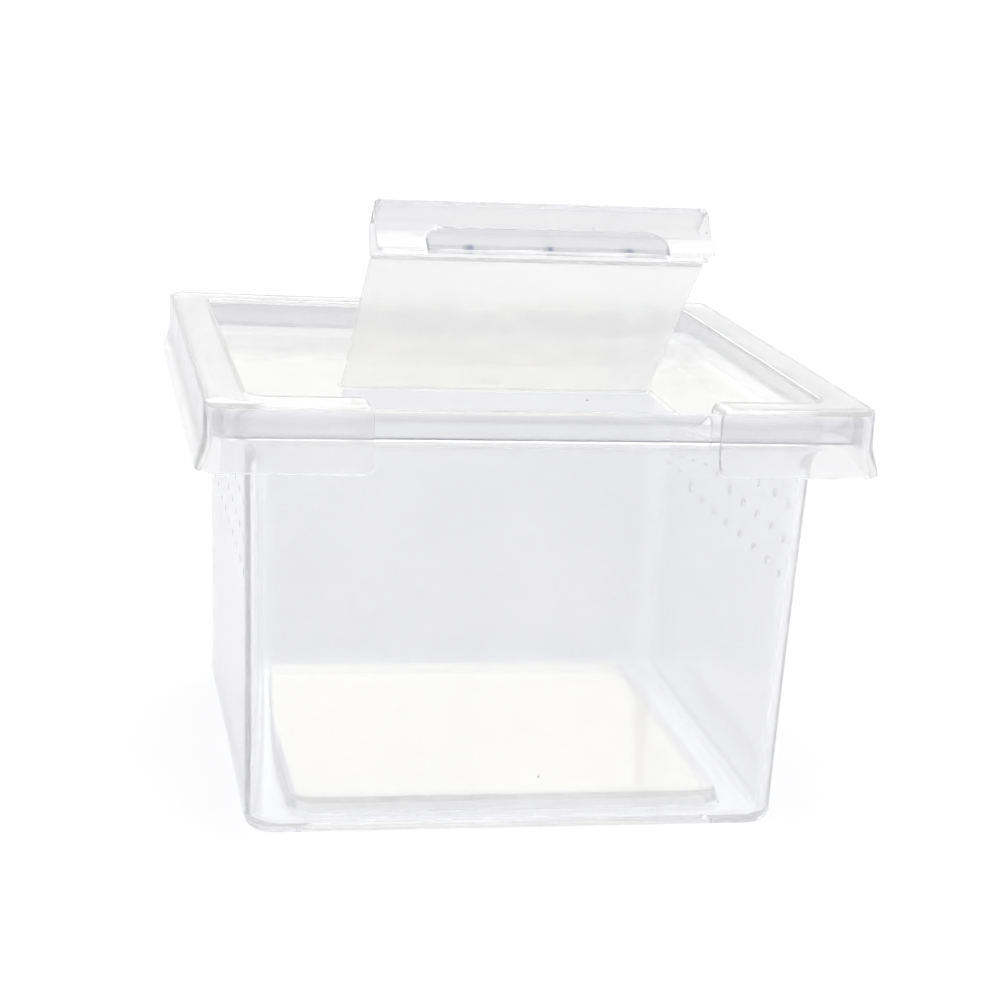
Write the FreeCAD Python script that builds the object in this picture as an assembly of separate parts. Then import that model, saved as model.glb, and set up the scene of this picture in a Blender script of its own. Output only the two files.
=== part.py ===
"""Small clear feeding box: a tapered tub, a press-over lid and a door flap on a living hinge.

Millimetres. +Z is up and the origin is the middle of the base. The door opens at the front, which
is -Y. The door is modelled standing open at DOOR_REST_ANGLE.
"""

import os

import FreeCAD, Part

V = FreeCAD.Vector

# Overall sizes
LID_HALF = 33.5            # half width of the square lid at its crest
HEIGHT = 46.0              # base to crest, with the lid on

# Tub
TUB_WALL = 1.0
TUB_FLOOR = 0.9            # top of the floor in the channel round the raised middle
BASE_HALF = 27.9           # outside, at the base
WALL_TOP_HALF = 29.0       # outside, where the cove under the rim starts
COVE_Z = 38.8              # height where the straight wall ends
COVE_RADIUS = 2.6          # outside radius of the cove that spreads into the rim
COVE_TURN = 60             # degrees it turns through, before the straight slope to the rim
SLOPE_RISE = 0.577         # height gained on the slope for each millimetre outward
SLOPE_WALL = 0.6           # the wall thins to this round the cove
RIM_HALF = 32.7            # outside of the rim band
RIM_BAND = 1.3             # thickness of the rim band
RIM_GAP = 0.1              # rim top to the lid's ceiling
RIM_ROUND = 0.9            # rounding of the rim's top edge, outside: width
RIM_ROUND_FALL = 1.2       # and height
MOUTH_ROUND = 0.25         # rounding of the rim's top edge, inside
WALL_CORNER = 3.2          # plan radius of the tub's vertical corners
RIM_CORNER = 1.9           # plan radius of the rim's corners
BASE_ROUND = 1.3           # rounding of the base's outer edge
FLOOR_ROUND = 1.0          # rounding between floor and walls, inside

# Raised middle of the floor, hollow below
RAISED_HALF = 23.0         # half width at its top
RAISED_Z = 2.25            # its top
RAISED_CORNER = 2.5        # plan radius of its corners
RAISED_ROUND = 0.3         # rounding of its top edge
RAISED_DRAFT = 0.25        # how much wider it is at its foot
HOLLOW_INSET = 0.8         # riser's thickness
HOLLOW_DEPTH = 1.35

# Vent holes, the same on both side walls
VENT_RADIUS = 0.45
VENT_PITCH_Y = 5.3
VENT_PITCH_Z = 3.7
VENT_COLUMNS = 10
VENT_ROWS = 3
VENT_TOP_Z = 34.1

# Lid
LID_WALL = 0.65
LID_CORNER = 2.0           # plan radius of the crest's corners
LID_ROUND = 0.45           # rounding of the crest's outer edge
SKIRT_DEPTH = 6.9          # crest to the skirt's free edge
SKIRT_STRAIGHT = 3.4       # crest to the start of the flare
SKIRT_FLARE = 0.75         # how far the free edge stands out past the crest
BORDER = 4.4               # width of the raised border
RECESS_DEPTH = 3.9         # crest to the sunken panel
RECESS_DRAFT = 0.3
RECESS_CORNER = 2.5
RECESS_ROUND = 0.3         # rounding of the border's inner edge
GATE_RADIUS = 1.25         # moulding gate's dimple in the middle of the panel
GATE_DEPTH = 0.2
GATE_PIP_RADIUS = 0.45

# Door flap and its living hinge
HINGE_FROM_FRONT = 29.8    # crest's front edge to the hinge line
DOOR_HALF = 16.9
DOOR_GAP = 0.4             # door edge to the cut in the lid
END_ROUND = 1.0            # rounding of the border's cut ends, seen from the front
DOOR_REST_ANGLE = 41.5     # opening of the door as modelled, in degrees
HINGE_BEAD = 0.16          # radius of the hinge's bead
HINGE_WEB = 0.2            # thickness of the hinge's web
HINGE_ROOM = 0.2           # hinge line to the door's edge and to the lid's edge

# Pull lip in the middle of the door's skirt, with three ribs behind it
LIP_HALF = 12.1
LIP_TOP_Z = 42.4
LIP_STEP = 0.45
LIP_ROUND = 1.7
RIB_PITCH = 8.0
RIB_WIDTH = 1.0
RIB_BACK = 0.1             # rib edge, outside the plane of the skirt's inner face

ARC_STEPS = 6
FLARE_STEPS = 8
BEYOND = 12.0              # how far cutting boxes run past the part

# Worked out from the above
RIM_TOP_Z = HEIGHT - LID_WALL - RIM_GAP
SKIRT_Z = HEIGHT - SKIRT_DEPTH
PANEL_Z = HEIGHT - RECESS_DEPTH
RECESS_HALF = LID_HALF - BORDER
HINGE_Y = HINGE_FROM_FRONT - LID_HALF
HINGE_Z = PANEL_Z
CUT_HALF = DOOR_HALF + DOOR_GAP


def rounded_square(half, radius, z):
    """Closed wire of four lines and four arcs, centred on the Z axis."""
    middle = half - radius
    diagonal = middle + radius * 0.5 ** 0.5
    edges = []
    for turn in range(4):
        def placed(x, y):
            for _ in range(turn):
                x, y = -y, x
            return V(x, y, z)
        edges.append(Part.LineSegment(placed(half, -middle), placed(half, middle)).toShape())
        edges.append(Part.Arc(placed(half, middle), placed(diagonal, diagonal),
                              placed(middle, half)).toShape())
    return Part.Wire(edges)


def stack(stations):
    """Solid through rounded squares, each station being (half width, corner radius, height)."""
    return Part.makeLoft([rounded_square(*station) for station in stations], True, True)


def quarter(centre, radius, start, end, steps=ARC_STEPS):
    """Points (half width, height) on an arc about a centre, angles in degrees."""
    points = []
    for step in range(steps + 1):
        angle = start + (end - start) * step / steps
        arm = FreeCAD.Rotation(V(0, 0, 1), angle).multVec(V(radius, 0, 0))
        points.append((centre[0] + arm.x, centre[1] + arm.y))
    return points


def box(x, y, z):
    """Box between pairs of limits."""
    return Part.makeBox(x[1] - x[0], y[1] - y[0], z[1] - z[0], V(x[0], y[0], z[0]))


def front_prism(x, y, z, radius):
    """Prism along Y whose outline, seen from the front, is a rounded rectangle."""
    block = box(x, y, z)
    corners = [edge for edge in block.Edges
               if abs(edge.tangentAt(edge.FirstParameter).y) > 0.99]
    return block.makeFillet(radius, corners)


def wall_half(z):
    """Outside half width of the tub's drafted wall at a height."""
    return BASE_HALF + (WALL_TOP_HALF - BASE_HALF) * z / COVE_Z


def cove(start_radius, end_radius, corner, rim_corner, rim_half):
    """Stations from the wall's top, round the cove and up the slope to the rim."""
    points = []
    for step in range(ARC_STEPS + 1):
        radius = start_radius + (end_radius - start_radius) * step / ARC_STEPS
        angle = 180 - COVE_TURN * step / ARC_STEPS
        points += quarter((WALL_TOP_HALF + COVE_RADIUS, COVE_Z), radius, angle, angle, 1)[:1]
    half, z = points[-1]
    points.append((rim_half, z + (rim_half - half) * SLOPE_RISE))
    stations = []
    for step, (half, z) in enumerate(points):
        stations.append((half, corner + (rim_corner - corner) * step / (len(points) - 1), z))
    return stations


def tub_outside():
    base_centre = (wall_half(BASE_ROUND) - BASE_ROUND, BASE_ROUND)
    stations = [(half, WALL_CORNER + half - wall_half(BASE_ROUND), z)
                for half, z in quarter(base_centre, BASE_ROUND, -90, 0)]
    stations += cove(COVE_RADIUS, COVE_RADIUS, WALL_CORNER, RIM_CORNER, RIM_HALF)
    for half, rise in quarter((RIM_HALF - RIM_ROUND, 0.0), RIM_ROUND, 0, 90):
        z = RIM_TOP_Z - RIM_ROUND_FALL + rise * RIM_ROUND_FALL / RIM_ROUND
        stations.append((half, RIM_CORNER + half - RIM_HALF, z))
    return stack(stations)


def tub_inside():
    inner_corner = WALL_CORNER - TUB_WALL
    floor_z = TUB_FLOOR + FLOOR_ROUND
    floor_half = wall_half(floor_z) - TUB_WALL
    stations = [(half, inner_corner, z)
                for half, z in quarter((floor_half - FLOOR_ROUND, floor_z), FLOOR_ROUND, -90, 0)]
    mouth_half = RIM_HALF - RIM_BAND
    mouth_corner = RIM_CORNER - RIM_BAND + MOUTH_ROUND
    stations += cove(COVE_RADIUS + TUB_WALL, COVE_RADIUS + SLOPE_WALL,
                     inner_corner, mouth_corner, mouth_half)
    lip_centre = (mouth_half + MOUTH_ROUND, RIM_TOP_Z - MOUTH_ROUND)
    stations += [(half, mouth_corner + half - mouth_half, z)
                 for half, z in quarter(lip_centre, MOUTH_ROUND, 180, 90)]
    stations.append((mouth_half + MOUTH_ROUND, mouth_corner + MOUTH_ROUND, RIM_TOP_Z + BEYOND))
    return stack(stations)


def vent_holes():
    holes = []
    first_y = -VENT_PITCH_Y * (VENT_COLUMNS - 1) / 2
    for side in (-1, 1):
        for row in range(VENT_ROWS):
            for column in range(VENT_COLUMNS):
                centre = V(side * (BASE_HALF - 3 * TUB_WALL), first_y + VENT_PITCH_Y * column,
                           VENT_TOP_Z - VENT_PITCH_Z * row)
                holes.append(Part.makeCylinder(VENT_RADIUS, 6 * TUB_WALL, centre, V(side, 0, 0)))
    return Part.makeCompound(holes)


def floor_middle():
    """The raised middle of the floor, with its foot sunk into the floor round it."""
    foot = [(RAISED_HALF + RAISED_DRAFT, RAISED_CORNER + RAISED_DRAFT, TUB_FLOOR / 2),
            (RAISED_HALF + RAISED_DRAFT, RAISED_CORNER + RAISED_DRAFT, TUB_FLOOR)]
    top = [(half, RAISED_CORNER + half - RAISED_HALF, z) for half, z in
           quarter((RAISED_HALF - RAISED_ROUND, RAISED_Z - RAISED_ROUND), RAISED_ROUND, 0, 90, 3)]
    return stack(foot + top)


def floor_hollow():
    """The space below the raised middle."""
    half, corner = RAISED_HALF - HOLLOW_INSET, RAISED_CORNER - HOLLOW_INSET
    return stack([(half + RAISED_DRAFT, corner + RAISED_DRAFT, -1.0), (half, corner, HOLLOW_DEPTH)])


def make_tub():
    shell = tub_outside().cut(tub_inside())
    return shell.fuse(floor_middle()).cut(floor_hollow()).cut(vent_holes())


def skirt_half(z):
    """Outside half width of the lid's skirt at a height: straight, then an eased flare."""
    fall = (HEIGHT - SKIRT_STRAIGHT - z) / (SKIRT_DEPTH - SKIRT_STRAIGHT)
    fall = min(max(fall, 0.0), 1.0)
    return LID_HALF + SKIRT_FLARE * fall * fall * (3 - 2 * fall)


def skirt_stations(offset, top_z):
    """Stations of the skirt's surface moved out by an offset, from the free edge up."""
    heights = [SKIRT_Z + (HEIGHT - SKIRT_STRAIGHT - SKIRT_Z) * step / FLARE_STEPS
               for step in range(FLARE_STEPS + 1)]
    stations = [(skirt_half(z) + offset, LID_CORNER + skirt_half(z) + offset - LID_HALF, z)
                for z in heights]
    return stations + [(LID_HALF + offset, LID_CORNER + offset, top_z)]


def lid_blank():
    """The whole lid as one skin, before the door is cut out of it."""
    outside = skirt_stations(0.0, HEIGHT - LID_ROUND)
    crest_centre = (LID_HALF - LID_ROUND, HEIGHT - LID_ROUND)
    outside += [(half, LID_CORNER + half - LID_HALF, z)
                for half, z in quarter(crest_centre, LID_ROUND, 0, 90)[1:]]
    inside = [(half, radius, z - LID_WALL) for half, radius, z in
              skirt_stations(-LID_WALL, HEIGHT)]
    sunken_bottom = RECESS_HALF - RECESS_DRAFT
    plug = [(sunken_bottom + LID_WALL - RECESS_ROUND, RECESS_CORNER, PANEL_Z - LID_WALL),
            (sunken_bottom + LID_WALL, RECESS_CORNER + RECESS_ROUND,
             PANEL_Z - LID_WALL + RECESS_ROUND),
            (RECESS_HALF + LID_WALL, RECESS_CORNER + LID_WALL, HEIGHT - LID_WALL)]
    sunken = [(sunken_bottom, RECESS_CORNER - RECESS_DRAFT, PANEL_Z),
              (RECESS_HALF, RECESS_CORNER, HEIGHT - RECESS_ROUND)]
    edge_centre = (RECESS_HALF + RECESS_ROUND, HEIGHT - RECESS_ROUND)
    sunken += [(half, RECESS_CORNER + half - RECESS_HALF, z)
               for half, z in quarter(edge_centre, RECESS_ROUND, 180, 90)[1:]]
    sunken.append((RECESS_HALF + RECESS_ROUND, RECESS_CORNER + RECESS_ROUND, HEIGHT + BEYOND))
    channel = stack(inside).cut(stack(plug))
    return stack(outside).cut(channel).cut(stack(sunken))


def gate_dimple():
    dimple = Part.makeCylinder(GATE_RADIUS, GATE_DEPTH + BEYOND, V(0, 0, PANEL_Z - GATE_DEPTH))
    pip = Part.makeCylinder(GATE_PIP_RADIUS, GATE_DEPTH, V(0, 0, PANEL_Z - GATE_DEPTH))
    return dimple.cut(pip)


def make_lid(blank):
    far = LID_HALF + BEYOND
    lid = blank.common(box((-far, far), (HINGE_Y + HINGE_ROOM, far), (SKIRT_Z, HEIGHT)))
    for side in (-1, 1):
        limits = sorted((side * CUT_HALF, side * far))
        end = front_prism(limits, (-far, HINGE_Y + HINGE_ROOM), (SKIRT_Z, HEIGHT), END_ROUND)
        lid = lid.fuse(blank.common(end))
    return lid.removeSplitter().cut(gate_dimple())


def make_hinge_web():
    """Bead on the hinge line with the thin web that ties it to the lid's panel."""
    bead = Part.makeCylinder(HINGE_BEAD, 2 * DOOR_HALF, V(-DOOR_HALF, HINGE_Y, HINGE_Z), V(1, 0, 0))
    web = box((-DOOR_HALF, DOOR_HALF), (HINGE_Y, HINGE_Y + HINGE_ROOM),
              (PANEL_Z - HINGE_WEB, PANEL_Z))
    return bead.fuse(web).removeSplitter()


def make_door(blank):
    far = LID_HALF + BEYOND
    door = blank.common(front_prism((-DOOR_HALF, DOOR_HALF), (-far, HINGE_Y - HINGE_ROOM),
                                    (SKIRT_Z, HEIGHT), END_ROUND))
    window = front_prism((-LIP_HALF, LIP_HALF), (-far, RIM_CORNER - LID_HALF),
                         (SKIRT_Z - BEYOND, LIP_TOP_Z), LIP_ROUND)
    lip_outside = stack(skirt_stations(LIP_STEP, HEIGHT))
    lip_inside = stack(skirt_stations(LIP_STEP - LID_WALL, HEIGHT))
    door = door.cut(window.common(lip_inside)).fuse(lip_outside.cut(lip_inside).common(window))
    for place in (-1, 0, 1):
        middle = place * RIB_PITCH
        rib = box((middle - RIB_WIDTH / 2, middle + RIB_WIDTH / 2),
                  (-far, LID_WALL - RIB_BACK - LID_HALF),
                  (SKIRT_Z, LIP_TOP_Z))
        door = door.fuse(rib.common(lip_outside))
    door = door.removeSplitter()
    door.rotate(V(0, HINGE_Y, HINGE_Z), V(-1, 0, 0), DOOR_REST_ANGLE)
    return door


def main():
    blank = lid_blank()
    nodes = {
        "tub": make_tub(),
        "lid": make_lid(blank),
        "hinge_web": make_hinge_web(),
        "door_flap": make_door(blank),
    }
    os.makedirs("parts", exist_ok=True)
    for name, shape in nodes.items():
        solids = shape.Solids
        size = shape.BoundBox
        print(name, "solids", len(solids), "valid", shape.isValid(), "volume", round(shape.Volume, 1),
              "z", round(size.ZMin, 2), round(size.ZMax, 2), "y", round(size.YMin, 2), round(size.YMax, 2))
        solids[0].exportStep(f"parts/{name}.step")


main()
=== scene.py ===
"""Looks of the small clear feeding box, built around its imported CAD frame.

Blender objects are in metres, +Z up. Each mesh is made in the part's own millimetres, and scaled last.
"""

import math

import bmesh
import bpy
from mathutils import Matrix, Vector, noise as fractal


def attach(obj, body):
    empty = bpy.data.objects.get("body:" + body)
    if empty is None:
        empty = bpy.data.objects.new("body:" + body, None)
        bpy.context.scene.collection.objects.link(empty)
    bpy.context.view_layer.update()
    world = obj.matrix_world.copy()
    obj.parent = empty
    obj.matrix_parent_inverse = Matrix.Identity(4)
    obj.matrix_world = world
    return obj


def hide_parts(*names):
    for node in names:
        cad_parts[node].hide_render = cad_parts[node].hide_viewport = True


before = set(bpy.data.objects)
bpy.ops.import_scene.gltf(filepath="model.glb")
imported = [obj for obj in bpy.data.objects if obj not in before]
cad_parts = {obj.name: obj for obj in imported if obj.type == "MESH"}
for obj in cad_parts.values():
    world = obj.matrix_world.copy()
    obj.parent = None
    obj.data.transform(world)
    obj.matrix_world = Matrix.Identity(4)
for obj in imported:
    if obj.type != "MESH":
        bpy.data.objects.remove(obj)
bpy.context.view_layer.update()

CAMERA_PLACE = (-0.04835, -0.25388, 0.09184)
CAMERA_TURN = (76.203, -2.946, -10.487)  # degrees
CAMERA_LENS, SENSOR = 85.614, 36.0       # millimetres
CAMERA_NEAR = 0.01                       # nothing nearer is drawn

MM = 0.001

# The part's dimensions in millimetres: as in its CAD source, and the finer shapes that it leaves out
LID_HALF = 33.5            # half width of the square lid at its crest
HEIGHT = 46.0              # base to crest, with the lid on

# Tub
TUB_WALL = 1.0
TUB_FLOOR = 0.9            # top of the floor in the channel round the raised middle
BASE_HALF = 27.9           # outside, at the base
WALL_TOP_HALF = 29.0       # outside, where the cove under the rim starts
WALL_CORNER = 3.2          # plan radius of the vertical corners
COVE_Z = 38.8              # height where the straight wall ends
COVE_RADIUS = 2.6          # outside radius of the cove that spreads into the rim
COVE_TURN = 60             # degrees it turns through, before the straight slope to the rim
SLOPE_RISE = 0.577         # height gained on the slope for each millimetre outward
SLOPE_WALL = 0.6           # the wall thins to this round the cove
BASE_ROUND = 1.3           # rounding of the base's outer edge
FLOOR_ROUND = 1.0          # rounding between floor and walls, inside

# Rim
RIM_HALF = 32.7
RIM_BAND = 1.3             # thickness of the rim band
RIM_CORNER = 1.9           # plan radius of its corners
RIM_TOP_Z = 45.25
RIM_ROUND = 0.9            # rounding of its top edge, outside: width
RIM_ROUND_FALL = 1.2       # and height
MOUTH_ROUND = 0.25         # rounding of its top edge, inside
BAND_DIP = 0.07            # its face lies this far inside its top and lower edges
SLOPE_INSET = 0.04         # the slope stops this far inside its face
FOOT_RISE = 0.05           # and the lower edge starts this far above the slope's end
FOOT_SHAPE = (0.0, 0.0), (0.0, 0.06), (BAND_DIP, 0.3), (BAND_DIP, 0.9)  # (inward, up) from there
BROW_SHAPE = (BAND_DIP, 0.25), (0.02, 0.1)  # (inward, down) from where the top edge's rounding starts

# Raised middle of the floor, hollow below
RAISED_HALF = 23.0         # half width at its top
RAISED_Z = 2.25
RAISED_CORNER = 2.5        # plan radius of its corners
RAISED_ROUND = 0.3         # rounding of its top edge
RAISED_DRAFT = 0.25        # how much wider it is at its foot
RISER_FOOT = (0.2, 0.0), (0.05, 0.06), (0.0, 0.2)  # (outward, up) where it meets the channel
HOLLOW_INSET = 0.8         # riser's thickness
HOLLOW_DEPTH = 1.35
HOLLOW_SIDE = (0.0, HOLLOW_DEPTH), (0.1, 0.8), (0.2, 0.12), (0.32, 0.0)  # (outward, height)

# Vent holes, the same on both side walls
VENT_RADIUS = 0.45
VENT_PITCH_Y = 5.3
VENT_PITCH_Z = 3.7
VENT_COLUMNS = 10
VENT_ROWS = 3
VENT_TOP_Z = 34.1
VENT_CUT = 6.0             # length of the cylinders that cut them

# Lid
LID_WALL = 0.65
LID_CORNER = 2.0           # plan radius of the crest's corners
LID_ROUND = 0.45           # rounding of the crest's outer edge
SKIRT_DEPTH = 6.9          # crest to the skirt's free edge
SKIRT_STRAIGHT = 3.4       # crest to the start of the flare
SKIRT_FLARE = 0.75         # how far the free edge stands out past the crest
SKIRT_HEIGHTS = 45.0, 44.2, 43.4  # of the points on the skirt's straight outside
CEILING_HEIGHTS = 43.4, 44.4      # and inside
BORDER = 4.4               # width of the raised border
RECESS_DEPTH = 3.9         # crest to the sunken panel
RECESS_DRAFT = 0.3
RECESS_CORNER = 2.5
RECESS_ROUND = 0.3         # rounding of the border's inner edge
RECESS_WALL = (0.0, 0.0), (0.1, 1.0), (0.2, 2.3)  # (outward, up) from the panel's edge
RECESS_BACK = 0.15, 1.5    # (outward, up) from the panel's edge, on the wall's hidden side
TIGHTEST_CORNER = 0.4      # no plan radius of the lid is smaller
GATE_RADIUS = 1.25         # moulding gate's dimple in the middle of the panel
GATE_DEPTH = 0.2
GATE_PIP_RADIUS = 0.45
GATE_PIP_SLOPE, GATE_SLOPE, GATE_SHORE = 0.06, 0.1, 0.4  # widths of its inner and outer slopes and shore

# Door flap and its living hinge
HINGE_FROM_FRONT = 29.8    # crest's front edge to the hinge line
HINGE_ROOM = 0.2           # hinge line to the door's edge and to the lid's edge
DOOR_HALF = 16.9
DOOR_GAP = 0.4             # door edge to the cut in the lid
DOOR_REST_ANGLE = 41.5     # opening of the door as modelled, in degrees
END_ROUND = 1.0            # rounding of the border's cut ends, seen from the front

# Pull lip in the middle of the door's skirt, with three ribs behind it
LIP_HALF = 12.1
LIP_TOP_Z = 42.4
LIP_STEP = 0.45
LIP_ROUND = 1.7
LIP_SOFT = 0.15            # its outline blurs over this much, in and out
RIBS = (-1, 0, 1)          # places of the ribs, counted in pitches from the middle
RIB_PITCH = 8.0
RIB_WIDTH = 1.0
RIB_SOFT = 0.3             # a rib's side blurs over this much, in and out
RIB_FILL = 0.15            # share of the step that a rib fills: only a trace shows
NUB_HEIGHT = 0.12          # pad at each rib's foot
NUB_RISE = 0.4             # its middle above the free edge
NUB_SIZE = 0.4, 0.3        # its spread across and up

# How the mouldings stray from their drawing
SAG = 0.45                 # the middle of the back border, and the rim below it, hangs by this much
SAG_HEIGHTS = 34.0, 41.0   # the sag grows from none to all between these heights
SAG_PLACES = 8.0, 33.0     # and these places from front to back
BOW = 0.18                 # the walls pull in by up to this much
BOW_TOP = 40.0             # from the base to this height
BOW_REACH = 26.0           # points further out than this are on a wall
SPAN = 35.0                # sag and bow die away this far from the middle
EDGE_WAVE = 0.3            # the skirt's free edge rises by up to this much
EDGE_BAND = 1.2            # which dies away over this height
EDGE_REACH = 33.2          # points further out than this are on the skirt
EDGE_PITCH = 0.2           # cells of the noise for each millimetre
EDGE_SEED = 7.0            # picks the slice of the noise
WOBBLE = 0.05              # faces wander inward by about this much
WOBBLE_PITCH = 0.09        # cells of the noise for each millimetre
WOBBLE_UPRIGHT = 0.5       # and this times that upward
WOBBLE_HEIGHTS = 1.0, 4.0  # the base stays true, and the wobble grows between these heights
WOBBLE_TOP = 44.0, 46.0    # the crest also wanders down, which grows between these heights
WOBBLE_SEED = 1            # without a seed the wobble differs from run to run

# Where the tinted places start and end; most tints are painted shade or painted light
FLAT_NEAR = 0.02           # points within this of a face are on it
MIDDLE_EDGE = 0.2          # the raised middle's tint is gone this far inside its edge
CORNER_GROWTH = 1.5        # the corners' painted light grows over this distance
CORNER_FROM_Z = 2.0        # and starts at this height
CROWN_RISE, CROWN_SPREAD = 0.3, 0.35  # painted shade on the rim's crown: its middle above the start of the rim's rounding, and its spread
FOOT_FALL = 2.0            # the rim's foot, where a shade line is painted, is further than this below its top
PANEL_EDGE, PANEL_NEAR = 0.5, 0.3     # inside the recess, and above the panel: where the panel's painted light goes
OVERLAP_FOOT, OVERLAP_TOP = (42.2, 42.6), (45.1, 45.5)  # heights where the painted shade comes and goes
SKIRT_NEAR = 0.8           # depth, from the crest's outside, that holds the skirt
EDGE_FALL = 0.8, 0.3       # below the crest, where the front edge's painted shade is none and all
LIP_NEAR = 0.3             # depth, inside the skirt's inner face, that holds the lip

# Fineness of the meshes, in steps
SIDE_STEPS = 44            # along each side of a rounded square
CORNER_STEPS = 8           # round each of its corners
ROUND_STEPS = 6            # round an edge
RIM_ROUND_STEPS = 9
COVE_STEPS = 8
SLOPE_STEPS = 3
WALL_STEPS = 16
BASE_STEPS = 6             # from the hollow to the base's edge
CHANNEL_STEPS = 4
MIDDLE_STEPS = 14          # across the raised middle, and along the door's panel
PANEL_STEPS = 18
CREST_STEPS = 5
SKIRT_STEPS = 12
DOOR_STEPS = 35            # across the door
DETAIL_STEPS = 20          # extra ones, for each millimetre of a detail's reach
LIP_END, RIB_END = (0.8, 1.4), 0.9  # the lip's detail: inset and reach; a rib's reach
VENT_SIDES = 20
MIDDLE_START, PANEL_START = 0.5, 2.0  # half widths of the smallest squares
GATE_START, PANEL_END = 0.15, 1.0
TUB_ROUNDNESS, LID_ROUNDNESS = 0.5, 0.6  # corner radius of small squares, as a share of their half width
DOOR_SPARE = 0.5           # the door's profile runs this far past its ends before they are cut
CUT_SPARE = 0.01           # cutters clear the faces they must not share by this much
CUT_BEYOND = 5.0           # cutters run this far past the lid, up and down
CUT_FRONT = -60.0          # and to here in front
SHARP_ANGLE = 38           # degrees: shading breaks at edges sharper than this

# Worked out from the above
SKIRT_Z = HEIGHT - SKIRT_DEPTH
FLARE_Z = HEIGHT - SKIRT_STRAIGHT
CEILING_Z = HEIGHT - LID_WALL
PANEL_Z = HEIGHT - RECESS_DEPTH
PANEL_UNDER_Z = PANEL_Z - LID_WALL
RECESS_HALF = LID_HALF - BORDER
SUNKEN_HALF = RECESS_HALF - RECESS_DRAFT
SKIRT_INNER_HALF = LID_HALF - LID_WALL
MOUTH_HALF = RIM_HALF - RIM_BAND
MOUTH_CORNER = RIM_CORNER - RIM_BAND + MOUTH_ROUND
INNER_CORNER = WALL_CORNER - TUB_WALL
BASE_CORNER = WALL_CORNER - BASE_ROUND
HINGE_Y, HINGE_Z = HINGE_FROM_FRONT - LID_HALF, PANEL_Z

# Plastic: colours are for light that passes through, and pitches are cells for each metre
TUB_COLOURS = (0.898, 0.900, 0.909), (0.918, 0.919, 0.925)
LID_COLOURS = (0.950, 0.950, 0.948), (0.978, 0.977, 0.972)
# The door's colours are darker than the lid's, though both are one moulding: painted shade
DOOR_SHADED_COLOURS = (0.930, 0.930, 0.932), (0.952, 0.951, 0.948)
TUB_CLEARNESS, LID_CLEARNESS, DOOR_CLEARNESS = 0.84, 0.86, 0.80
TUB_POLISH, LID_POLISH = (0.04, 0.10), (0.06, 0.14)  # roughness where smooth and where rough
REFRACTION = 1.49
HAZE = 0.03                # share of the light that scatters
SHADOW_COLOUR = (0.975, 0.975, 0.977)
CLOUD_PITCH, CLOUD_DETAIL, CLOUD_LIMITS = 60.0, 4.0, (0.35, 0.65)
GRAIN_PITCH, GRAIN_DETAIL, GRAIN_ROUGHNESS, GRAIN_LIMITS = 240.0, 5.0, 0.6, (0.4, 0.7)
RIPPLE_PITCH, RIPPLE_DETAIL, RIPPLE_HEIGHT = 110.0, 2.0, 0.00002
SPECK_PITCH, SPECK_SIZES, SPECK_COLOUR = 160.0, (0.014, 0.024), (0.10, 0.10, 0.13)

# Studio
FLOOR_REACH, FLOOR_DROP, FLOOR_ROUGHNESS = 4.0, 0.0002, 0.9
FLOOR_COLOUR, FLOOR_SEEN_COLOUR = (0.80, 0.80, 0.81), (0.855, 0.855, 0.857)
SKY_DIM, SKY_BRIGHT = (0.64, 0.64, 0.665), (0.86, 0.86, 0.86)
SKY_AIM, SKY_LIMITS = (0.0, 0.80, 0.60), (-0.55, 0.45)  # towards the bright side, and where it fades
SUN_AIM, SUN_STRENGTH, SUN_SOFTNESS = (0.05, -0.65, -0.75), 1.7, 70
CLEAR_BOUNCES, GLOSSY_BOUNCES = 32, 8


def ease(value, low, high):
    """0 below the lower limit, 1 above the upper one, and a smooth rise between."""
    t = min(max((value - low) / (high - low), 0.0), 1.0)
    return t * t * (3 - 2 * t)


def between(low, high, steps):
    """Evenly spaced numbers strictly between two limits."""
    return [low + (high - low) * step / steps for step in range(1, steps)]


def arc(centre, radius, start, end, steps=ROUND_STEPS):
    """(half width, height) pairs on an arc, angles in degrees."""
    turns = (math.radians(start + (end - start) * step / steps) for step in range(steps + 1))
    return [(centre[0] + radius * math.cos(t), centre[1] + radius * math.sin(t)) for t in turns]


def rounded_square(half, radius, z):
    """Points of a rounded square about the Z axis, evenly spaced on each side and arc."""
    middle = half - radius
    quarter = [(half, -middle + 2 * middle * step / SIDE_STEPS) for step in range(SIDE_STEPS)]
    turns = [math.pi / 2 * step / CORNER_STEPS for step in range(CORNER_STEPS)]
    quarter += [(middle + radius * math.cos(t), middle + radius * math.sin(t)) for t in turns]
    turned = ((1, 0), (0, 1), (-1, 0), (0, -1))
    return [Vector((x * c - y * s, x * s + y * c, z)) for c, s in turned for x, y in quarter]


def new_mesh(name, form):
    mesh = bpy.data.meshes.new(name)
    form.to_mesh(mesh)
    form.free()
    return mesh


def skin(name, outlines):
    """Closed mesh over a row of outlines that have equally many points."""
    form = bmesh.new()
    rows = [[form.verts.new(point) for point in outline] for outline in outlines]
    for row, following in zip(rows, rows[1:]):
        for i in range(len(row)):
            j = (i + 1) % len(row)
            form.faces.new((row[i], row[j], following[j], following[i]))
    form.faces.new(rows[0])
    form.faces.new(rows[-1])
    bmesh.ops.recalc_face_normals(form, faces=form.faces)
    return new_mesh(name, form)


def loft(name, stations):
    """Closed mesh through rounded squares, each station being (half width, corner radius, height)."""
    return skin(name, [rounded_square(*station) for station in stations])


def prism(name, outline, y_limits):
    """Prism along Y over an outline of (x, z) points."""
    return skin(name, [[(x, y, z) for x, z in outline] for y in y_limits])


def wall_half(z):
    """Half width of the tub's outside at a height, up to the cove."""
    return BASE_HALF + (WALL_TOP_HALF - BASE_HALF) * z / COVE_Z


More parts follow.
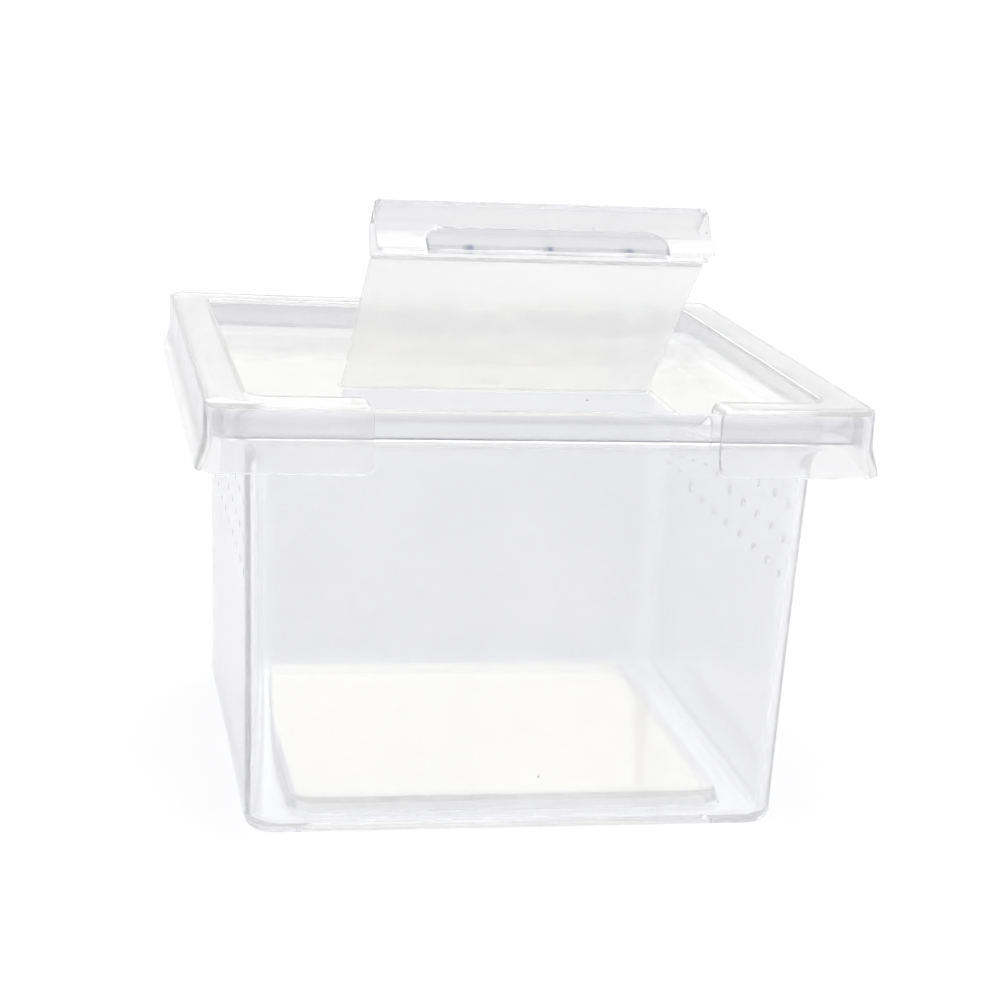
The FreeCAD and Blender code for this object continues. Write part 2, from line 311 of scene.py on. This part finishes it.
def cove(start_radius, end_radius, corner, rim_corner, rim_half):
    """Stations from the wall's top, round the cove and up the slope to the rim.

    The cove's radius runs from start to end, and the plan corners from the wall's to the rim's.
    """
    points = []
    for step in range(COVE_STEPS + 1):
        radius = start_radius + (end_radius - start_radius) * step / COVE_STEPS
        turn = math.radians(180 - COVE_TURN * step / COVE_STEPS)
        out, up = radius * math.cos(turn), radius * math.sin(turn)
        points.append((WALL_TOP_HALF + COVE_RADIUS + out, COVE_Z + up))
    start, low = points[-1]
    slope = between(start, rim_half, SLOPE_STEPS) + [rim_half]
    points += [(half, low + (half - start) * SLOPE_RISE) for half in slope]
    last = len(points) - 1
    return [(half, corner + (rim_corner - corner) * step / last, z) for step, (half, z) in enumerate(points)]


def underside():
    """Stations of the tub's bottom: the hollow below the raised middle, then the flat it stands on."""
    half_width, corner = RAISED_HALF - HOLLOW_INSET, RAISED_CORNER - HOLLOW_INSET
    stations = [(half, min(half * TUB_ROUNDNESS, corner), HOLLOW_DEPTH)
                for half in between(MIDDLE_START, half_width, MIDDLE_STEPS)]
    stations += [(half_width + out, min(corner + out, BASE_CORNER), z) for out, z in HOLLOW_SIDE]
    flat = stations[-1][0], wall_half(BASE_ROUND) - BASE_ROUND
    return stations + [(half, BASE_CORNER, 0.0) for half in between(*flat, BASE_STEPS)]


def outside():
    """Stations of the tub's outside: the base's edge, the wall, the cove and the slope."""
    edge = wall_half(BASE_ROUND)
    stations = [(half, WALL_CORNER + half - edge, z)
                for half, z in arc((edge - BASE_ROUND, BASE_ROUND), BASE_ROUND, -90, 0)]
    stations += [(wall_half(z), WALL_CORNER, z) for z in between(BASE_ROUND, COVE_Z, WALL_STEPS)]
    return stations + cove(COVE_RADIUS, COVE_RADIUS, WALL_CORNER, RIM_CORNER, RIM_HALF - SLOPE_INSET)


def rim(slope_end_z):
    """Stations of the rim: its lower edge, its face, the rounded top edge and the mouth's edge."""
    foot_z, round_z = slope_end_z + FOOT_RISE, RIM_TOP_Z - RIM_ROUND_FALL
    stations = [(RIM_HALF - inward, RIM_CORNER, foot_z + up) for inward, up in FOOT_SHAPE]
    stations += [(RIM_HALF - inward, RIM_CORNER, round_z - down) for inward, down in BROW_SHAPE]
    stations += [(half, RIM_CORNER + half - RIM_HALF, round_z + rise * RIM_ROUND_FALL / RIM_ROUND)
                 for half, rise in arc((RIM_HALF - RIM_ROUND, 0.0), RIM_ROUND, 0, 90, RIM_ROUND_STEPS)]
    mouth = arc((MOUTH_HALF + MOUTH_ROUND, RIM_TOP_Z - MOUTH_ROUND), MOUTH_ROUND, 90, 180)
    return stations + [(half, MOUTH_CORNER + half - MOUTH_HALF, z) for half, z in mouth]


def inside():
    """Stations of the tub's inside: the slope, the cove, the wall and the rounding into the floor."""
    upper = cove(COVE_RADIUS + TUB_WALL, COVE_RADIUS + SLOPE_WALL, INNER_CORNER, MOUTH_CORNER, MOUTH_HALF)
    stations = list(reversed(upper))
    top = TUB_FLOOR + FLOOR_ROUND
    stations += [(wall_half(z) - TUB_WALL, INNER_CORNER, z) for z in between(COVE_Z, top, WALL_STEPS)]
    rounding = arc((wall_half(top) - TUB_WALL - FLOOR_ROUND, top), FLOOR_ROUND, 0, -90)
    return stations + [(half, INNER_CORNER, z) for half, z in rounding]


def floor_top():
    """Stations of the tub's floor, inside: the channel, the riser and the raised middle."""
    foot_half, foot_corner = RAISED_HALF + RAISED_DRAFT, RAISED_CORNER + RAISED_DRAFT
    channel = wall_half(TUB_FLOOR + FLOOR_ROUND) - TUB_WALL - FLOOR_ROUND, foot_half + RISER_FOOT[0][0]
    stations = [(half, foot_corner, TUB_FLOOR) for half in between(*channel, CHANNEL_STEPS)]
    stations += [(foot_half + out, foot_corner, TUB_FLOOR + up) for out, up in RISER_FOOT]
    flat_half = RAISED_HALF - RAISED_ROUND
    stations += [(half, RAISED_CORNER + half - RAISED_HALF, z)
                 for half, z in arc((flat_half, RAISED_Z - RAISED_ROUND), RAISED_ROUND, 0, 90)]
    return stations + [(half, min(half * TUB_ROUNDNESS, RAISED_CORNER - RAISED_ROUND), RAISED_Z)
                       for half in between(flat_half, MIDDLE_START, MIDDLE_STEPS)]


def tub_mesh():
    stations = underside() + outside()
    stations += rim(stations[-1][2])
    return loft("tub_shell", stations + inside() + floor_top())


def skirt_half(z):
    """Half width of the lid's skirt, outside, at a height: straight, then flaring to its free edge."""
    fall = min(max((FLARE_Z - z) / (SKIRT_DEPTH - SKIRT_STRAIGHT), 0.0), 1.0)
    return LID_HALF + SKIRT_FLARE * fall * fall * (3 - 2 * fall)


def border_path():
    """(half width, height) round the lid's wall, from the panel's top, over the crest, to its underside."""
    path = [(SUNKEN_HALF + out, PANEL_Z + up) for out, up in RECESS_WALL]
    path += arc((RECESS_HALF + RECESS_ROUND, HEIGHT - RECESS_ROUND), RECESS_ROUND, 180, 90)
    crest = between(RECESS_HALF + RECESS_ROUND, LID_HALF - LID_ROUND, CREST_STEPS)
    path += [(half, HEIGHT) for half in crest]
    path += arc((LID_HALF - LID_ROUND, HEIGHT - LID_ROUND), LID_ROUND, 90, 0)
    path += [(LID_HALF, z) for z in SKIRT_HEIGHTS]
    flare = [SKIRT_Z + (FLARE_Z - SKIRT_Z) * step / SKIRT_STEPS for step in range(SKIRT_STEPS + 1)]
    path += [(skirt_half(z), z) for z in reversed(flare)]
    path += [(skirt_half(z + LID_WALL) - LID_WALL, z) for z in flare]
    path += [(SKIRT_INNER_HALF, z) for z in (*CEILING_HEIGHTS, CEILING_Z)]
    ceiling = between(SKIRT_INNER_HALF, RECESS_HALF + LID_WALL, CREST_STEPS) + [RECESS_HALF + LID_WALL]
    path += [(half, CEILING_Z) for half in ceiling]
    out, up = RECESS_BACK
    path.append((SUNKEN_HALF + out + LID_WALL, PANEL_Z + up))
    path += arc((SUNKEN_HALF + LID_WALL - RECESS_ROUND, PANEL_UNDER_Z + RECESS_ROUND), RECESS_ROUND, 0, -90)
    return path


def gate():
    """Stations of the moulding gate's dimple and the pip in its middle."""
    low = PANEL_Z - GATE_DEPTH
    rounds = ((GATE_START, PANEL_Z), (GATE_PIP_RADIUS - GATE_PIP_SLOPE, PANEL_Z), (GATE_PIP_RADIUS, low),
              (GATE_RADIUS - GATE_SLOPE, low), (GATE_RADIUS, PANEL_Z), (GATE_RADIUS + GATE_SHORE, PANEL_Z))
    return [(half, half, z) for half, z in rounds]


def lid_mesh():
    """The lid before the doorway is cut: panel, border, skirt and back under the panel."""
    stations = gate()
    panel = between(PANEL_START, SUNKEN_HALF, PANEL_STEPS)
    stations += [(half, min(half * LID_ROUNDNESS, RECESS_CORNER), PANEL_Z) for half in panel]
    for half, z in border_path():
        if half >= LID_HALF - LID_ROUND - LID_WALL:
            corner = LID_CORNER + half - LID_HALF
        else:
            corner = RECESS_CORNER - RECESS_DRAFT + half - SUNKEN_HALF
        stations.append((half, max(corner, TIGHTEST_CORNER), z))
    under = between(SUNKEN_HALF, PANEL_START, PANEL_STEPS)
    stations += [(half, min(half * LID_ROUNDNESS, RECESS_CORNER), PANEL_UNDER_Z) for half in under]
    stations.append((PANEL_END, PANEL_END, PANEL_UNDER_Z))
    return loft("lid_shell", stations)


def lip_share(x, z):
    """How far a point of the door's skirt lies inside the pull lip's outline, from 0 to 1."""
    dx = max(abs(x) - (LIP_HALF - LIP_ROUND), 0.0)
    dz = max(z - (LIP_TOP_Z - LIP_ROUND), 0.0)
    return 1.0 - ease(math.hypot(dx, dz), LIP_ROUND - LIP_SOFT, LIP_ROUND + LIP_SOFT)


def off_rib(x):
    """Distance to the nearest rib of the pull lip."""
    return min(abs(x - RIB_PITCH * place) for place in RIBS)


def rib_share(x):
    """1 on a rib of the pull lip, 0 beside it."""
    return 1.0 - ease(off_rib(x), RIB_WIDTH / 2 - RIB_SOFT, RIB_WIDTH / 2 + RIB_SOFT)


def nub(x, z):
    """Height of the small pad at the foot of each rib."""
    across, up = NUB_SIZE
    return NUB_HEIGHT * math.exp(-(off_rib(x) / across) ** 2 - ((z - SKIRT_Z - NUB_RISE) / up) ** 2)


def door_profile():
    """(y, z) outline of the closed door from the side, as the lid's wall runs."""
    back = HINGE_Y - HINGE_ROOM
    profile = [(y, PANEL_Z) for y in [back] + between(back, -SUNKEN_HALF, MIDDLE_STEPS)]
    profile += [(-half, z) for half, z in border_path()]
    under = between(-SUNKEN_HALF - LID_WALL + RECESS_ROUND, back, MIDDLE_STEPS) + [back]
    return profile + [(y, PANEL_UNDER_Z) for y in under]


def door_places():
    """Where the profile is repeated along X: evenly, and closer at the lip's ends and the ribs."""
    end = DOOR_HALF + DOOR_SPARE
    places = {-end, end, *between(-end, end, DOOR_STEPS)}
    inset, reach = LIP_END
    details = [(-LIP_HALF + inset, reach), (LIP_HALF - inset, reach)]
    details += [(RIB_PITCH * place, RIB_END) for place in RIBS]
    for middle, reach in details:
        places.update(between(middle - reach, middle + reach, round(reach * DETAIL_STEPS)))
    return sorted(places)


def door_mesh():
    """The door, closed: the lid's wall as a profile along X, with the pull lip pressed out of its skirt."""
    columns = []
    for x in door_places():
        column = []
        for y, z in door_profile():
            if y < -SKIRT_INNER_HALF + LID_WALL / 10:
                inner = y > -skirt_half(z) + LID_WALL / 2
                y -= LIP_STEP * lip_share(x, z) * (1.0 - RIB_FILL * rib_share(x) * inner)
                y += nub(x, z) * inner
            column.append((x, y, z))
        columns.append(column)
    return skin("door_shell", columns)


def door_outline():
    """The door's front outline with its rounded corners, as a prism to keep the door within."""
    right, top = DOOR_HALF - END_ROUND, HEIGHT + CUT_SPARE - END_ROUND
    low = SKIRT_Z - CUT_SPARE + END_ROUND
    corners = ((right, top, 0), (-right, top, 90), (-right, low, 180), (right, low, 270))
    outline = [point for x, z, start in corners for point in arc((x, z), END_ROUND, start, start + 90)]
    return prism("door_outline", outline, (CUT_FRONT, HINGE_Y))


def doorway_cutter():
    """Takes the door's place out of the lid and rounds the border's two cut ends, seen from the front."""
    cut = DOOR_HALF + DOOR_GAP
    clear = cut + END_ROUND + CUT_SPARE
    turns = [math.pi / 2 * step / ROUND_STEPS for step in range(ROUND_STEPS + 1)]
    side = [(clear, SKIRT_Z - CUT_BEYOND)]
    side += [(cut + END_ROUND * (1 - math.sin(t)), SKIRT_Z + END_ROUND * (1 - math.cos(t))) for t in turns]
    round_z = HEIGHT - END_ROUND
    side += [(cut + END_ROUND * (1 - math.cos(t)), round_z + END_ROUND * math.sin(t)) for t in turns]
    side += [(clear, HEIGHT + CUT_BEYOND)]
    outline = side + [(-x, z) for x, z in reversed(side)]
    return prism("doorway", outline, (CUT_FRONT, HINGE_Y + HINGE_ROOM))


def vent_cutter():
    """Cylinders along X through both side walls, one for each vent hole."""
    form = bmesh.new()
    along_x = Matrix.Rotation(math.pi / 2, 3, "Y")
    first = -VENT_PITCH_Y * (VENT_COLUMNS - 1) / 2
    for side in (-1, 1):
        for row in range(VENT_ROWS):
            for column in range(VENT_COLUMNS):
                y, z = first + VENT_PITCH_Y * column, VENT_TOP_Z - VENT_PITCH_Z * row
                made = bmesh.ops.create_cone(form, cap_ends=True, segments=VENT_SIDES, radius1=VENT_RADIUS,
                                             radius2=VENT_RADIUS, depth=VENT_CUT)["verts"]
                bmesh.ops.rotate(form, verts=made, cent=(0, 0, 0), matrix=along_x)
                middle = side * (wall_half(z) - TUB_WALL / 2)
                bmesh.ops.translate(form, verts=made, vec=(middle, y, z))
    return new_mesh("vents", form)


def carve(mesh, cutter, operation="DIFFERENCE"):
    """The mesh with the cutter's volume taken away, or cut down to it."""
    holder, tool = (bpy.data.objects.new(m.name, m) for m in (mesh, cutter))
    for each in (holder, tool):
        bpy.context.scene.collection.objects.link(each)
    cut = holder.modifiers.new("cut", "BOOLEAN")
    cut.operation, cut.solver, cut.object = operation, "EXACT", tool
    bpy.context.view_layer.update()
    done = bpy.data.meshes.new_from_object(holder.evaluated_get(bpy.context.evaluated_depsgraph_get()))
    for each in (holder, tool):
        bpy.data.objects.remove(each)
    return done


def on_middle(co):
    """1 on the flat of the floor's raised middle, above and below, 0 off it."""
    reach = max(abs(co.x), abs(co.y))
    flat = min(abs(co.z - RAISED_Z), abs(co.z - HOLLOW_DEPTH)) < FLAT_NEAR
    return (1.0 - ease(reach, RAISED_HALF - HOLLOW_INSET, RAISED_HALF - MIDDLE_EDGE)) * flat


def on_corner_painted_light(co):
    """1 in the tub's four rounded vertical corners, 0 elsewhere: there a paler tint is painted, as painted
    light over their dark refraction.
    """
    reach = min(abs(co.x), abs(co.y)) - wall_half(co.z) + WALL_CORNER
    return ease(reach, 0.0, CORNER_GROWTH) * (CORNER_FROM_Z < co.z < COVE_Z)


def on_crown_painted_shade(co):
    """Painted shade on the rim's rounded top edge, strongest where it meets the band."""
    return math.exp(-((co.z - RIM_TOP_Z + RIM_ROUND_FALL - CROWN_RISE) / CROWN_SPREAD) ** 2)


def on_foot_painted_shade(co):
    """Painted shade: a dark line along the rim's lower edge."""
    return float(max(abs(co.x), abs(co.y)) > RIM_HALF - FLAT_NEAR and co.z < RIM_TOP_Z - FOOT_FALL)


def on_panel_painted_light(co):
    """1 on the lid's sunken panel, 0 off it: there the plastic is painted paler and creamier, as painted
    light from above.
    """
    return float(max(abs(co.x), abs(co.y)) < RECESS_HALF - PANEL_EDGE and co.z < PANEL_Z + PANEL_NEAR)


def on_overlap_painted_shade(co):
    """Painted shade on the part of the lid's skirt that lies against the tub's rim."""
    beside = ease(co.z, *OVERLAP_FOOT) * (1.0 - ease(co.z, *OVERLAP_TOP))
    return beside * (max(abs(co.x), abs(co.y)) > LID_HALF - SKIRT_NEAR)


def on_edge_painted_shade(co):
    """Painted shade on the rounded front edge of the door's crest."""
    low, high = EDGE_FALL
    return ease(co.z, HEIGHT - low, HEIGHT - high) * (co.y < -LID_HALF + SKIRT_NEAR)


def on_lip_painted_shade(co):
    """1 on the pull lip, inside and outside, where it is painted darker: painted shade."""
    return lip_share(co.x, co.z) * (co.y < -SKIRT_INNER_HALF + LIP_NEAR)


def on_nub(co):
    """The pads at the ribs' feet."""
    return nub(co.x, co.z) / NUB_HEIGHT * on_lip_painted_shade(co)


# Places on each piece that get a tint: where they are, and the tint. The corner and panel tints are painted
# light; the crown, foot, overlap, lip and edge tints are painted shade
TUB_MARKS = {"middle": (on_middle, (0.925, 0.914, 0.868)), "corner": (on_corner_painted_light, (0.945, 0.947, 0.955)),
             "crown": (on_crown_painted_shade, (0.76, 0.755, 0.775)), "foot": (on_foot_painted_shade, (0.42, 0.42, 0.46))}
LID_MARKS = {"panel": (on_panel_painted_light, (0.999, 0.997, 0.980)), "overlap": (on_overlap_painted_shade, (0.88, 0.875, 0.893))}
DOOR_MARKS = {"lip": (on_lip_painted_shade, (0.72, 0.72, 0.73)), "edge": (on_edge_painted_shade, (0.78, 0.79, 0.83)),
              "nub": (on_nub, (0.12, 0.16, 0.32))}


def paint(mesh, name, share):
    """Stores a number from 0 to 1 on every point, for a material to read."""
    layer = mesh.attributes.new(name, "FLOAT", "POINT")
    layer.data.foreach_set("value", [share(vertex.co) for vertex in mesh.vertices])


def settle(point):
    """Where a moulded point really lies: borders sag, walls pull in, the free edge waves, faces wander."""
    x, y, z = point
    z -= SAG * ease(z, *SAG_HEIGHTS) * ease(y, *SAG_PLACES) * (1 - (x / SPAN) ** 2)
    bow = BOW * math.sin(math.pi * min(max(z, 0.0) / BOW_TOP, 1.0))
    if abs(x) > BOW_REACH:
        x -= math.copysign(bow * (1 - (y / SPAN) ** 2), x)
    if abs(y) > BOW_REACH:
        y -= math.copysign(bow * (1 - (point[0] / SPAN) ** 2), y)
    wave = 0.5 + 0.5 * fractal.noise(Vector((x * EDGE_PITCH, y * EDGE_PITCH, EDGE_SEED)))
    near = 1.0 - ease(z, SKIRT_Z, SKIRT_Z + EDGE_BAND)
    z += EDGE_WAVE * near * (max(abs(x), abs(y)) > EDGE_REACH) * wave
    shift = fractal.noise_vector(Vector((x, y, z * WOBBLE_UPRIGHT)) * WOBBLE_PITCH) * WOBBLE
    inward = ease(z, *WOBBLE_HEIGHTS)
    x -= math.copysign((WOBBLE + shift.x) * inward, x)
    y -= math.copysign((WOBBLE + shift.y) * inward, y)
    z -= (WOBBLE + shift.z) * ease(z, *WOBBLE_TOP)
    return Vector((x, y, z))


def piece(name, mesh, body, replaced, plastic, marks, turn=Matrix.Identity(4)):
    """Puts a mesh made in millimetres into the scene as a piece that rides on a body."""
    for label, (share, _) in marks.items():
        paint(mesh, label, share)
    for vertex in mesh.vertices:
        vertex.co = settle(vertex.co)
    mesh.transform(turn)
    mesh.transform(Matrix.Scale(MM, 4))
    mesh.name = name
    mesh.polygons.foreach_set("use_smooth", [True] * len(mesh.polygons))
    mesh.set_sharp_from_angle(angle=math.radians(SHARP_ANGLE))
    mesh.materials.clear()
    mesh.materials.append(plastic)
    made = bpy.data.objects.new(name, mesh)
    bpy.context.scene.collection.objects.link(made)
    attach(made, body)
    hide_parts(replaced)


def add_node(tree, kind, **settings):
    node = tree.nodes.new(kind)
    for key, value in settings.items():
        setattr(node, key, value)
    return node


def feed(tree, source, target):
    tree.links.new(source, target)


def empty_tree(owner):
    owner.use_nodes = True
    owner.node_tree.nodes.clear()
    return owner.node_tree


def noise(tree, coords, pitch, detail, roughness=0.5):
    """Cloudy noise, as a factor."""
    node = add_node(tree, "ShaderNodeTexNoise")
    node.inputs["Scale"].default_value = pitch
    node.inputs["Detail"].default_value = detail
    node.inputs["Roughness"].default_value = roughness
    feed(tree, coords, node.inputs["Vector"])
    return node.outputs["Fac"]


def spread(tree, value, limits, results=(0.0, 1.0)):
    """A value mapped from its limits to the results, and held there beyond them."""
    node = add_node(tree, "ShaderNodeMapRange")
    for name, number in zip(("From Min", "From Max", "To Min", "To Max"), (*limits, *results)):
        node.inputs[name].default_value = number
    feed(tree, value, node.inputs["Value"])
    return node.outputs["Result"]


def mixed(tree, share, colour, other):
    """A colour, given or as a socket, that turns into another one as the share goes from 0 to 1."""
    node = add_node(tree, "ShaderNodeMix", data_type="RGBA")
    if isinstance(colour, tuple):
        node.inputs["A"].default_value = (*colour, 1)
    else:
        feed(tree, colour, node.inputs["A"])
    node.inputs["B"].default_value = (*other, 1)
    feed(tree, share, node.inputs["Factor"])
    return node.outputs["Result"]


def specks(tree, coords):
    """Rare dust specks in the plastic, as a factor."""
    cells = add_node(tree, "ShaderNodeTexVoronoi")
    cells.inputs["Scale"].default_value = SPECK_PITCH
    feed(tree, coords, cells.inputs["Vector"])
    return spread(tree, cells.outputs["Distance"], SPECK_SIZES, (1.0, 0.0))


def plastic_colour(tree, coords, deep, pale, marks):
    """Cloudy between two colours, with dust specks, and with the marked places in their tints: painted shade
    and painted light for most of them.
    """
    cloud = noise(tree, coords, CLOUD_PITCH, CLOUD_DETAIL)
    colour = mixed(tree, spread(tree, cloud, CLOUD_LIMITS), deep, pale)
    colour = mixed(tree, specks(tree, coords), colour, SPECK_COLOUR)
    for label, (_, tint) in marks.items():
        painted = add_node(tree, "ShaderNodeAttribute", attribute_name=label).outputs["Fac"]
        colour = mixed(tree, painted, colour, tint)
    return colour


def plastic_body(tree, coords, colour, clearness, polish):
    """The refracting shader, with uneven polish and a faint ripple."""
    shader = add_node(tree, "ShaderNodeBsdfPrincipled")
    shader.inputs["Transmission Weight"].default_value = clearness
    shader.inputs["IOR"].default_value = REFRACTION
    feed(tree, colour, shader.inputs["Base Color"])
    grain = noise(tree, coords, GRAIN_PITCH, GRAIN_DETAIL, GRAIN_ROUGHNESS)
    feed(tree, spread(tree, grain, GRAIN_LIMITS, polish), shader.inputs["Roughness"])
    bump = add_node(tree, "ShaderNodeBump")
    bump.inputs["Strength"].default_value = 1.0
    bump.inputs["Distance"].default_value = RIPPLE_HEIGHT
    feed(tree, noise(tree, coords, RIPPLE_PITCH, RIPPLE_DETAIL), bump.inputs["Height"])
    feed(tree, bump.outputs["Normal"], shader.inputs["Normal"])
    return shader.outputs[0]


def clear_plastic(name, colours, clearness, polish, marks):
    """Moulded clear plastic: a refracting body with a little haze, which lets light through to its shadow."""
    material = bpy.data.materials.new(name)
    tree = empty_tree(material)
    coords = add_node(tree, "ShaderNodeTexCoord").outputs["Object"]
    colour = plastic_colour(tree, coords, *colours, marks)
    haze = add_node(tree, "ShaderNodeBsdfTranslucent")
    feed(tree, colour, haze.inputs["Color"])
    hazy = add_node(tree, "ShaderNodeMixShader")
    hazy.inputs[0].default_value = HAZE
    feed(tree, plastic_body(tree, coords, colour, clearness, polish), hazy.inputs[1])
    feed(tree, haze.outputs[0], hazy.inputs[2])
    lit = add_node(tree, "ShaderNodeBsdfTransparent")
    lit.inputs["Color"].default_value = (*SHADOW_COLOUR, 1)
    shadow = add_node(tree, "ShaderNodeMixShader")
    feed(tree, add_node(tree, "ShaderNodeLightPath").outputs["Is Shadow Ray"], shadow.inputs[0])
    feed(tree, hazy.outputs[0], shadow.inputs[1])
    feed(tree, lit.outputs[0], shadow.inputs[2])
    output = add_node(tree, "ShaderNodeOutputMaterial")
    feed(tree, shadow.outputs[0], output.inputs["Surface"])
    return material


def make_pieces():
    """The three mouldings, and the living hinge, which keeps its CAD shape."""
    tub_plastic = clear_plastic("clear_tub", TUB_COLOURS, TUB_CLEARNESS, TUB_POLISH, TUB_MARKS)
    lid_plastic = clear_plastic("clear_lid", LID_COLOURS, LID_CLEARNESS, LID_POLISH, LID_MARKS)
    door_shaded_plastic = clear_plastic("clear_door_shaded", DOOR_SHADED_COLOURS, DOOR_CLEARNESS, LID_POLISH, DOOR_MARKS)
    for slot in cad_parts["hinge_web"].material_slots:
        slot.link = "OBJECT"
        slot.material = lid_plastic
    to_hinge = Matrix.Translation((0, HINGE_Y, HINGE_Z))
    from_hinge = Matrix.Translation((0, -HINGE_Y, -HINGE_Z))
    opened = to_hinge @ Matrix.Rotation(math.radians(-DOOR_REST_ANGLE), 4, "X") @ from_hinge
    piece("box_tub", carve(tub_mesh(), vent_cutter()), "tub", "tub", tub_plastic, TUB_MARKS)
    piece("box_lid", carve(lid_mesh(), doorway_cutter()), "lid", "lid", lid_plastic, LID_MARKS)
    door = carve(door_mesh(), door_outline(), "INTERSECT")
    piece("box_door", door, "door", "door_flap", door_shaded_plastic, DOOR_MARKS, turn=opened)


def make_floor():
    """Pale paper, a little paler where the camera sees it than where it lights the box."""
    mesh = bpy.data.meshes.new("floor")
    corners = [(x * FLOOR_REACH, y * FLOOR_REACH, 0) for x, y in ((-1, -1), (1, -1), (1, 1), (-1, 1))]
    mesh.from_pydata(corners, [], [(0, 1, 2, 3)])
    floor = bpy.data.objects.new("floor", mesh)
    bpy.context.scene.collection.objects.link(floor)
    floor.location.z = -FLOOR_DROP
    material = bpy.data.materials.new("floor_paper")
    tree = empty_tree(material)
    shader = add_node(tree, "ShaderNodeBsdfPrincipled")
    shader.inputs["Roughness"].default_value = FLOOR_ROUGHNESS
    shader.inputs["Specular IOR Level"].default_value = 0.0
    seen = add_node(tree, "ShaderNodeLightPath").outputs["Is Camera Ray"]
    feed(tree, mixed(tree, seen, FLOOR_COLOUR, FLOOR_SEEN_COLOUR), shader.inputs["Base Color"])
    output = add_node(tree, "ShaderNodeOutputMaterial")
    feed(tree, shader.outputs[0], output.inputs["Surface"])
    mesh.materials.append(material)


def make_world():
    """Pale surroundings: bright overhead and behind the box, dimmer low down and in front of it."""
    world = bpy.data.worlds.new("studio")
    bpy.context.scene.world = world
    tree = empty_tree(world)
    bright = add_node(tree, "ShaderNodeVectorMath", operation="DOT_PRODUCT")
    bright.inputs[1].default_value = SKY_AIM
    feed(tree, add_node(tree, "ShaderNodeTexCoord").outputs["Generated"], bright.inputs[0])
    share = spread(tree, bright.outputs["Value"], SKY_LIMITS)
    background = add_node(tree, "ShaderNodeBackground")
    feed(tree, mixed(tree, share, SKY_DIM, SKY_BRIGHT), background.inputs["Color"])
    output = add_node(tree, "ShaderNodeOutputWorld")
    feed(tree, background.outputs[0], output.inputs["Surface"])


def make_sun():
    light = bpy.data.lights.new("overhead", "SUN")
    light.energy = SUN_STRENGTH
    light.angle = math.radians(SUN_SOFTNESS)
    lamp = bpy.data.objects.new("overhead", light)
    bpy.context.scene.collection.objects.link(lamp)
    lamp.rotation_euler = Vector(SUN_AIM).to_track_quat("-Z", "Y").to_euler()


def make_camera():
    data = bpy.data.cameras.new("camera")
    data.lens = CAMERA_LENS
    data.sensor_width = SENSOR
    data.clip_start = CAMERA_NEAR
    camera = bpy.data.objects.new("camera", data)
    bpy.context.scene.collection.objects.link(camera)
    camera.location = CAMERA_PLACE
    camera.rotation_euler = [math.radians(turn) for turn in CAMERA_TURN]
    bpy.context.scene.camera = camera


fractal.seed_set(WOBBLE_SEED)
make_pieces()
make_floor()
make_world()
make_sun()
make_camera()

scene = bpy.context.scene
scene.view_settings.view_transform = "Standard"
scene.cycles.max_bounces = CLEAR_BOUNCES
scene.cycles.transmission_bounces = CLEAR_BOUNCES
scene.cycles.transparent_max_bounces = CLEAR_BOUNCES
scene.cycles.glossy_bounces = GLOSSY_BOUNCES
